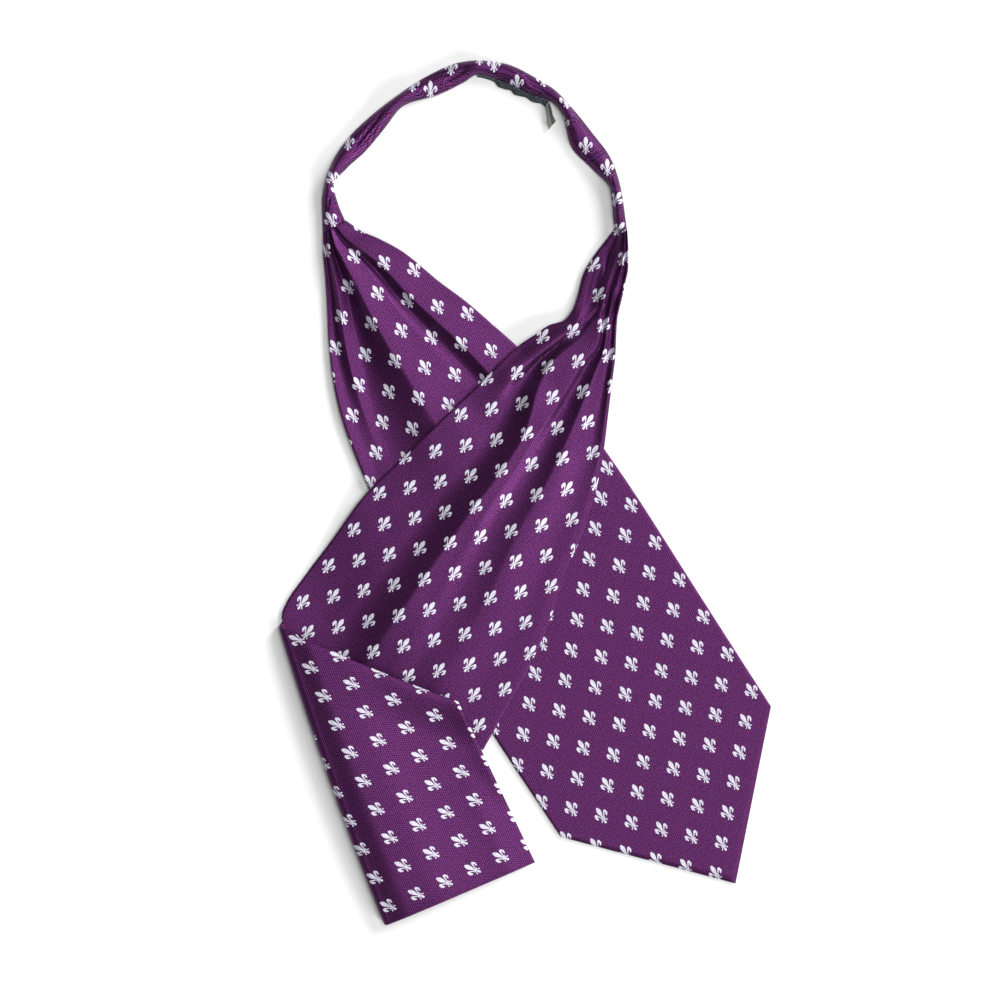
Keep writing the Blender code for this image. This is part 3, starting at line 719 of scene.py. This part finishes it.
def upper_repeat(points, side, row, column, corners, face):
    """The right blade's repeat: its face on one side, and the back of its turned end on the other."""
    laid = lattice("right blade", points[:, :2])
    turned = lattice("turned end", points[:, :2])
    return np.where((side == 0)[:, None], turned, laid)[corners]


def band_repeat(points, side, row, column, corners, face):
    """Each face of the band takes the motif nearest to it, so that no motif is cut or smeared."""
    middles = np.array([from_photo(motif[:2]) for motif in BAND_MOTIFS])
    leans = np.radians([motif[2] for motif in BAND_MOTIFS])
    corner_sums = [np.bincount(face, weights=points[corners, axis]) for axis in (0, 1)]
    centre = np.stack(corner_sums, axis=1) / np.bincount(face)[:, None]
    away = np.linalg.norm(centre[:, None, :] - middles[None], axis=2)
    nearest = away.argmin(axis=1)[face]
    offset = points[corners, :2] - middles[nearest]
    cosine, sine = np.cos(leans[nearest]), np.sin(leans[nearest])
    x = offset[:, 0] * cosine + offset[:, 1] * sine
    y = -offset[:, 0] * sine + offset[:, 1] * cosine
    on_motif = (away.min(axis=1)[face] < REPEAT * BAND_MOTIF_SHARE)[:, None]
    cell = np.stack((x - y, -x - y), axis=1) / (math.sqrt(2.0) * REPEAT)
    return np.where(on_motif, cell, BLANK)


def ribs_along(region_of, hand=1.0):
    """Thread coordinates in millimetres, across and along the ribs, for the regions of a piece."""

    def threads(points, side, row):
        angle = np.radians(region_of(points, side, row))
        along = points[:, 0] * np.cos(angle) + points[:, 1] * np.sin(angle)
        across = points[:, 0] * np.sin(angle) - points[:, 1] * np.cos(angle)
        return np.stack((hand * across, along), axis=1)

    return threads


def no_repeat(points, side, row, column, corners, face):
    """The labels' repeat: nowhere near a motif."""
    return np.tile(BLANK, (len(corners), 1))


def lower_blade(finish):
    """The left blade: pleated at the neck band, flat below, with a right-angled point."""
    share = ((np.arange(LOWER_ROWS + 1) / LOWER_ROWS) ** LOWER_ROW_CROWDING)[:, None]
    level = share[:, 0] * LOWER_SHOULDERS
    reach = read_table(LOWER_SECTIONS, level)
    left, width = reach[:, :1], reach[:, 1:] - reach[:, :1]
    across, height = pleated(LOWER_STATIONS, LOWER_PLEATS, LOWER_CELLS, level, width[:, 0])
    point = LOWER_POINT_DEPTH * (1.0 - np.abs(2.0 * across - 1.0))
    down = (level[:, None] + point * share**LOWER_POINT_LATENESS)[..., None]
    plan = LOWER_GATHER + LOWER_AXIS * down + LOWER_ACROSS * (left + width * across)[..., None]
    skins = np.stack([np.dstack((plan, height + side * CLOTH)) for side in (0, 1)])
    ribs, hand = RIBS["left blade"]
    threads = ribs_along(lambda points, side, row: ribs, hand)
    return sheet("left_blade_cloth", rounded(skins, ("first",)), lower_repeat, threads, finish)


def upper_blade(finish):
    """The right blade, from the neck band over the lower blade, with its end turned back on top."""
    fold = (FOLD_BOTTOM - FOLD_TOP) / np.linalg.norm(FOLD_BOTTOM - FOLD_TOP)
    outward = np.array((fold[1], -fold[0]))
    last = UPPER_SECTIONS[-1][0]
    near = UPPER_SECTIONS[-3][0]

    def roll_radius(across):
        fullness = np.sqrt(4.0 * across * (1.0 - across))
        return ROLL_RADIUS_AT_ENDS + (ROLL_RADIUS - ROLL_RADIUS_AT_ENDS) * fullness

    def slant(across):
        return fold * FOLD_SLANT * (1.0 - across)[..., None]

    def on_fold(across):
        bow = FOLD_BOW * 4.0 * across * (1.0 - across)
        inset = (bow - roll_radius(across))[..., None]
        return FOLD_TOP + (FOLD_BOTTOM - FOLD_TOP) * across[..., None] + outward * inset

    down = last * np.arange(UPPER_ROWS + 1) / UPPER_ROWS
    reach = read_table(UPPER_SECTIONS, down)
    left, right = reach[:, None, 0:2], reach[:, None, 2:4]
    width = np.linalg.norm(right - left, axis=2)[:, 0]
    across, height = pleated(UPPER_STATIONS, UPPER_PLEATS, UPPER_CELLS, down, width)
    edge = across[-1]
    flat_end = left[-1] + (right[-1] - left[-1]) * edge[:, None]
    to_fold = on_fold(edge) - slant(edge) - flat_end
    near_fold = smooth((down - near) / (last - near))[:, None, None]
    plan = left + (right - left) * across[..., None] + to_fold[None] * near_fold
    bed = bridge_height(plan) + creased(plan, height, NECK_CREASES)
    laid = np.stack([np.dstack((plan, bed + side * CLOTH)) for side in (0, 1)])

    turn = (np.arange(1, ROLL_ROWS + 1) / ROLL_ROWS)[:, None]
    angle = np.pi * turn
    radius = roll_radius(edge)[None]
    rolled = np.stack([
        np.dstack((
            on_fold(edge)[None]
            + outward * ((radius - side * CLOTH) * np.sin(angle))[..., None]
            - slant(edge)[None] * (1.0 - turn)[..., None],
            radius - (radius - side * CLOTH) * np.cos(angle),
        ))
        for side in (0, 1)
    ])

    share = (np.arange(1, TURNED_ROWS + 1) / TURNED_ROWS)[:, None]
    start = on_fold(edge)
    end = TURNED_SHOULDER + (TURNED_POINT - TURNED_SHOULDER) * edge[:, None]
    settled = smooth(share / TURNED_SETTLED)
    at_edge = 1.0 - smooth(edge[None] / TURNED_EDGE_REACH)
    top = column_of(TURNED_HEIGHTS, share) - 2.0 * (ROLL_RADIUS - radius) * (1.0 - settled)
    top = top + TURNED_EDGE_LIFT * at_edge * settled
    bow = TURNED_EDGE_BOW * 4.0 * share * (1.0 - share) * at_edge
    turned_plan = start[None] + (end - start)[None] * share[..., None] + fold * bow[..., None]
    past = smooth((share - TURNED_SETTLED) / (1.0 - TURNED_SETTLED))
    past = past * smooth((edge[None] - TURNED_DRAPE_FROM) / (TURNED_DRAPE_TO - TURNED_DRAPE_FROM))
    top = top + bridge_height(turned_plan) * (1.0 - past) - TURNED_DRAPE * past
    turned = np.stack([np.dstack((turned_plan, top - side * CLOTH)) for side in (0, 1)])

    skins = np.concatenate((laid, rolled, turned), axis=1)
    threads = ribs_along(
        lambda points, side, row: np.where(side == 0, RIBS["turned end"][0], RIBS["right blade"][0])
    )
    return sheet("right_blade_cloth", rounded(skins, ("first",)), upper_repeat, threads, finish)


def band_table():
    """The band's sections by their distance along its middle line."""
    values = np.array([section[1:] for section in BAND_SECTIONS])
    middles = (values[:, 0:2] + values[:, 2:4]) / 2.0
    lengths = np.concatenate(((0.0,), np.cumsum(np.linalg.norm(np.diff(middles, axis=0), axis=1))))
    return np.column_stack((lengths, values))


def neck_band(finish):
    """The folded neck band, full in its middle and pinched at five places."""
    table = band_table()
    along = table[-1][0] * np.arange(BAND_ROWS + 1) / BAND_ROWS
    here = read_table(table, along)
    for end, beside in ((0, 1), (-1, -2)):
        for corner in (slice(0, 2), slice(2, 4)):
            way = here[end, corner] - here[beside, corner]
            here[end, corner] += SEAM_REACH * way / np.linalg.norm(way)
    outer, inner, rise = here[:, None, 0:2], here[:, None, 2:4], here[:, 4:5]
    across = (np.arange(BAND_COLUMNS + 1) / BAND_COLUMNS)[None]
    plan = outer + (inner - outer) * across[..., None]
    dome = rise * (1.0 - np.abs(2.0 * across - 1.0) ** BAND_FULLNESS)
    height = creased(plan, dome, BAND_CREASES)
    skins = np.stack([np.dstack((plan, height + side * CLOTH)) for side in (0, 1)])
    way = np.gradient(here[:, 0:2] + here[:, 2:4], axis=0)
    heading = np.degrees(np.unwrap(np.arctan2(way[:, 1], way[:, 0])))
    threads = ribs_along(lambda points, side, row: BAND_RIB_TURN * heading[row])
    return sheet("neck_band_cloth", rounded(skins, ("first", "last")), band_repeat, threads, finish)


def neck_label(finish):
    """The woven label, sewn along the band's inner edge and leaning from it down to the table."""
    table = band_table()
    names = [section[0] for section in BAND_SECTIONS]
    start = table[names.index(LABEL_FROM)][0]
    end = table[names.index(LABEL_TO)][0]
    share = np.arange(LABEL_ROWS + 1) / LABEL_ROWS
    here = read_table(table, start + (end - start) * share)
    width = read_table(LABEL_WIDTHS, share)
    inner = here[:, None, 2:4]
    inward = here[:, 2:4] - here[:, 0:2]
    inward = (inward / np.linalg.norm(inward, axis=1)[:, None])[:, None]
    across = (np.arange(LABEL_COLUMNS + 1) / LABEL_COLUMNS)[None]
    plan = inner + inward * (GAP + width * across)[..., None]
    height = LABEL_SLOPE * width * (1.0 - across)
    skins = np.stack([np.dstack((plan, height + side * LABEL_WALL)) for side in (0, 1)])
    threads = ribs_along(lambda points, side, row: 0.0)
    return sheet("neck_label_tape", skins, no_repeat, threads, finish)


def care_label(finish):
    """The care label's tail, hanging from the woven label's end into the loop, creased down its middle."""
    edges = read_table(CARE_EDGES, np.arange(CARE_ROWS + 1) / CARE_ROWS)[:, None]
    across = (np.arange(CARE_COLUMNS + 1) / CARE_COLUMNS)[None]
    plan = edges[..., 0:2] + (edges[..., 2:4] - edges[..., 0:2]) * across[..., None]
    ribs = CARE_RIB * np.sin(np.pi * CARE_RIBS * across) ** 2
    height = CARE_RISE * np.abs(2.0 * across - 1.0) + ribs + np.zeros((CARE_ROWS + 1, 1))
    skins = np.stack([np.dstack((plan, height + side * CARE_WALL)) for side in (0, 1)])
    threads = ribs_along(lambda points, side, row: 0.0)
    return sheet("care_label_tape", skins, no_repeat, threads, finish)


class Graph:
    """Short calls that add shader nodes to a material and return their outputs."""

    def __init__(self, name):
        self.material = bpy.data.materials.new(name)
        self.material.use_nodes = True
        self.tree = self.material.node_tree
        self.shader = self.tree.nodes["Principled BSDF"]

    def node(self, kind, inputs=(), **settings):
        made = self.tree.nodes.new("ShaderNode" + kind)
        for name, value in settings.items():
            setattr(made, name, value)
        for socket, value in enumerate(inputs):
            self.feed(made.inputs[socket], value)
        return made

    def feed(self, socket, value):
        if isinstance(value, bpy.types.NodeSocket):
            self.tree.links.new(value, socket)
        elif value is not None:
            socket.default_value = value

    def math(self, operation, *inputs, clamp=False):
        return self.node("Math", inputs, operation=operation, use_clamp=clamp).outputs[0]

    def vector(self, operation, *inputs):
        made = self.node("VectorMath", inputs, operation=operation)
        return made.outputs["Value"] if operation in ("LENGTH", "DOT_PRODUCT") else made.outputs[0]

    def range(self, value, low, high, to_low=0.0, to_high=1.0, steps="LINEAR"):
        made = self.node("MapRange", (value, low, high, to_low, to_high), interpolation_type=steps)
        return made.outputs[0]

    def mix(self, share, first, second):
        made = self.node("Mix", data_type="RGBA")
        self.feed(made.inputs[0], share)
        self.feed(made.inputs[6], first if isinstance(first, bpy.types.NodeSocket) else (*first, 1.0))
        self.feed(made.inputs[7], second if isinstance(second, bpy.types.NodeSocket) else (*second, 1.0))
        return made.outputs[2]

    def uv(self, name):
        return self.node("UVMap", uv_map=name).outputs[0]

    def split(self, vector):
        return self.node("SeparateXYZ", (vector,)).outputs

    def join(self, x, y, z=0.0):
        return self.node("CombineXYZ", (x, y, z)).outputs[0]

    def noise(self, vector, scale, detail=2.0, roughness=0.5):
        made = self.node("TexNoise", noise_dimensions="3D")
        self.feed(made.inputs["Vector"], vector)
        made.inputs["Scale"].default_value = scale
        made.inputs["Detail"].default_value = detail
        made.inputs["Roughness"].default_value = roughness
        return made.outputs[0]

    def finish(self, colour, roughness, height=None, depth=0.0, **constants):
        self.feed(self.shader.inputs["Base Color"], colour)
        self.feed(self.shader.inputs["Roughness"], roughness)
        for name, value in constants.items():
            self.shader.inputs[name.replace("_", " ")].default_value = value
        if height is not None:
            bump = self.node("Bump")
            bump.inputs["Strength"].default_value = 1.0
            bump.inputs["Distance"].default_value = depth
            self.feed(bump.inputs["Height"], height)
            self.feed(self.shader.inputs["Normal"], bump.outputs[0])
        return self.material


def fleur_de_lis(graph):
    """1 inside the nearest motif and 0 outside it, from the cloth's place in the repeat."""
    s, t, _ = graph.split(graph.uv("repeat"))
    s = graph.math("SUBTRACT", graph.math("FRACT", graph.math("ADD", s, 0.5)), 0.5)
    t = graph.math("SUBTRACT", graph.math("FRACT", graph.math("ADD", t, 0.5)), 0.5)
    x = graph.math("MULTIPLY", graph.math("SUBTRACT", s, t), REPEAT / math.sqrt(2.0))
    y = graph.math("MULTIPLY", graph.math("ADD", s, t), -REPEAT / math.sqrt(2.0))
    here = graph.join(graph.math("ABSOLUTE", x), y)
    inside = None
    for _, x0, y0, radius0, x1, y1, radius1 in STROKES:
        start = (x0, y0, 0.0)
        step = (x1 - x0, y1 - y0, 0.0)
        away = graph.vector("SUBTRACT", here, start)
        squared = step[0] ** 2 + step[1] ** 2
        along = graph.vector("DOT_PRODUCT", away, (step[0] / squared, step[1] / squared, 0.0))
        along = graph.math("MULTIPLY", along, 1.0, clamp=True)
        foot = graph.node("VectorMath", (None,), operation="SCALE")
        foot.inputs[0].default_value = step
        graph.feed(foot.inputs["Scale"], along)
        distance = graph.vector("LENGTH", graph.vector("SUBTRACT", away, foot.outputs[0]))
        radius = graph.range(along, 0.0, 1.0, radius0, radius1)
        depth = graph.math("SUBTRACT", radius, distance)
        inside = depth if inside is None else graph.math("MAXIMUM", inside, depth)
    from_eye = graph.vector("LENGTH", graph.vector("SUBTRACT", graph.join(x, y), EYE_PLACE))
    inside = graph.math("MINIMUM", inside, graph.math("SUBTRACT", from_eye, EYE_RADIUS))
    return graph.range(inside, -STROKE_SOFTNESS, STROKE_SOFTNESS, steps="SMOOTHSTEP")


def silk(name, period):
    """Fine twill in purple silk, shot with crimson and violet threads, and the woven white motif."""
    graph = Graph(name)
    threads = graph.uv("threads")
    across, along, _ = graph.split(threads)
    wander = graph.math("MULTIPLY", graph.noise(threads, WANDER_PATCHES, 1.0), WANDER)
    phase = graph.math("MULTIPLY", graph.math("ADD", across, wander), 2.0 * math.pi / period)
    rib = graph.math("MULTIPLY_ADD", graph.math("SINE", phase), 0.5, 0.5)
    slanted = graph.math("MULTIPLY", along, math.sin(CROSSING_SLANT))
    slanted = graph.math("MULTIPLY_ADD", across, math.cos(CROSSING_SLANT), slanted)
    crossing = graph.math("SINE", graph.math("MULTIPLY", slanted, 2.0 * math.pi / period))
    crossing = graph.math("MULTIPLY_ADD", crossing, 0.5, 0.5)
    yarn_across = graph.math("MULTIPLY", across, YARN_ACROSS / period)
    yarn_along = graph.math("MULTIPLY", along, YARN_ALONG / period)
    yarn = graph.join(yarn_across, yarn_along)
    tone = graph.noise(yarn, 1.0, 1.0, 0.7)
    hue = graph.noise(graph.vector("ADD", yarn, HUE_OFFSET), HUE_PATCHES, 2.0, 0.7)
    fleck = graph.noise(graph.vector("ADD", threads, FLECK_OFFSET), FLECK_PATCHES, 1.0, 0.6)
    motif = fleur_de_lis(graph)

    purple = graph.mix(graph.range(hue, *CRIMSON_SPAN), SILK, SILK_CRIMSON)
    purple = graph.mix(graph.range(hue, *VIOLET_SPAN), purple, SILK_VIOLET)
    ribbed = graph.range(rib, *WAVE_SPAN, *RIB_LIGHT, "SMOOTHSTEP")
    ribbed = graph.math("ADD", ribbed, graph.range(crossing, *WAVE_SPAN, *CROSSING_LIGHT, "SMOOTHSTEP"))
    light = graph.math("ADD", ribbed, graph.range(tone, *TONE_SPAN, *TONE_LIGHT))
    purple = graph.mix(light, SILK_DARK, purple)
    white = graph.mix(graph.range(fleck, *FLECK_SPAN), MOTIF_SHADE, MOTIF_WHITE)
    colour = graph.mix(motif, purple, white)

    roughness = graph.math("MULTIPLY_ADD", tone, ROUGHNESS_SPREAD, ROUGHNESS)
    lustre = graph.math("MULTIPLY_ADD", motif, -MOTIF_LUSTRE_DROP, SILK_LUSTRE)
    graph.feed(graph.shader.inputs["Metallic"], lustre)
    weave = graph.math("MULTIPLY_ADD", rib, RIB_RELIEF, graph.math("MULTIPLY", tone, TONE_RELIEF))
    height = graph.math("MULTIPLY_ADD", motif, MOTIF_RELIEF, weave)
    return graph.finish(
        colour,
        roughness,
        height,
        RELIEF_DEPTH,
        Specular_IOR_Level=0.18,
        Sheen_Weight=0.03,
        Sheen_Roughness=0.45,
    )


def tape(name):
    """Narrow woven ribbon, plain, with flecks of a lighter thread."""
    colour, fleck_colour, roughness = TAPES[name]
    graph = Graph(name)
    place = graph.node("TexCoord").outputs["Object"]
    fleck = graph.noise(place, TAPE_FLECKS, 2.0, 0.6)
    weave = graph.noise(place, TAPE_THREADS, 1.0, 0.5)
    shade = graph.mix(graph.range(fleck, *TAPE_FLECK_SPAN), colour, fleck_colour)
    return graph.finish(shade, roughness, weave, TAPE_RELIEF_DEPTH, Sheen_Weight=0.2)


def stage():
    """A white floor, three soft suns, even fill, and the camera overhead. These are in metres."""
    bpy.ops.mesh.primitive_plane_add(size=FLOOR_SIDE, location=(0.0, 0.0, -FLOOR_DEPTH))
    floor = bpy.context.object
    floor.name = "floor"
    graph = Graph("floor_white")
    floor.data.materials.append(graph.finish(FLOOR_COLOUR, FLOOR_ROUGHNESS, Specular_IOR_Level=0.1))

    for name, azimuth, elevation, angle, strength in SUNS:
        sun = bpy.data.lights.new(name, "SUN")
        sun.energy = strength
        sun.angle = math.radians(angle)
        light = bpy.data.objects.new(name, sun)
        light.rotation_euler = (0.0, math.radians(90.0 - elevation), math.radians(azimuth))
        bpy.context.scene.collection.objects.link(light)

    world = bpy.data.worlds.new("studio")
    world.use_nodes = True
    background = world.node_tree.nodes["Background"]
    background.inputs["Color"].default_value = (1.0, 1.0, 1.0, 1.0)
    background.inputs["Strength"].default_value = FILL_STRENGTH
    bpy.context.scene.world = world

    lens = bpy.data.cameras.new("camera")
    lens.lens = CAMERA_LENS
    lens.sensor_width = CAMERA_SENSOR
    camera = bpy.data.objects.new("camera", lens)
    camera.location = (*PICTURE_MIDDLE, PICTURE_SIDE * CAMERA_LENS / CAMERA_SENSOR)
    bpy.context.scene.collection.objects.link(camera)
    bpy.context.scene.camera = camera
    bpy.context.scene.view_settings.view_transform = "Standard"


def main():
    stage()
    blade_silk = silk("blade_silk", BLADE_RIBS)
    left = lower_blade(blade_silk)
    right = upper_blade(blade_silk)
    band = neck_band(silk("band_silk", BAND_RIBS))
    label = neck_label(tape("label_tape"))
    care = care_label(tape("care_tape"))
    for piece, node, slot in (
        (left, "left_blade", "blade_silk"),
        (right, "right_blade", "blade_silk"),
        (band, "neck_band", "band_silk"),
        (label, "neck_label", "label_tape"),
        (care, "care_label", "care_tape"),
    ):
        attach(piece, "root")
        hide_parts(node)


main()
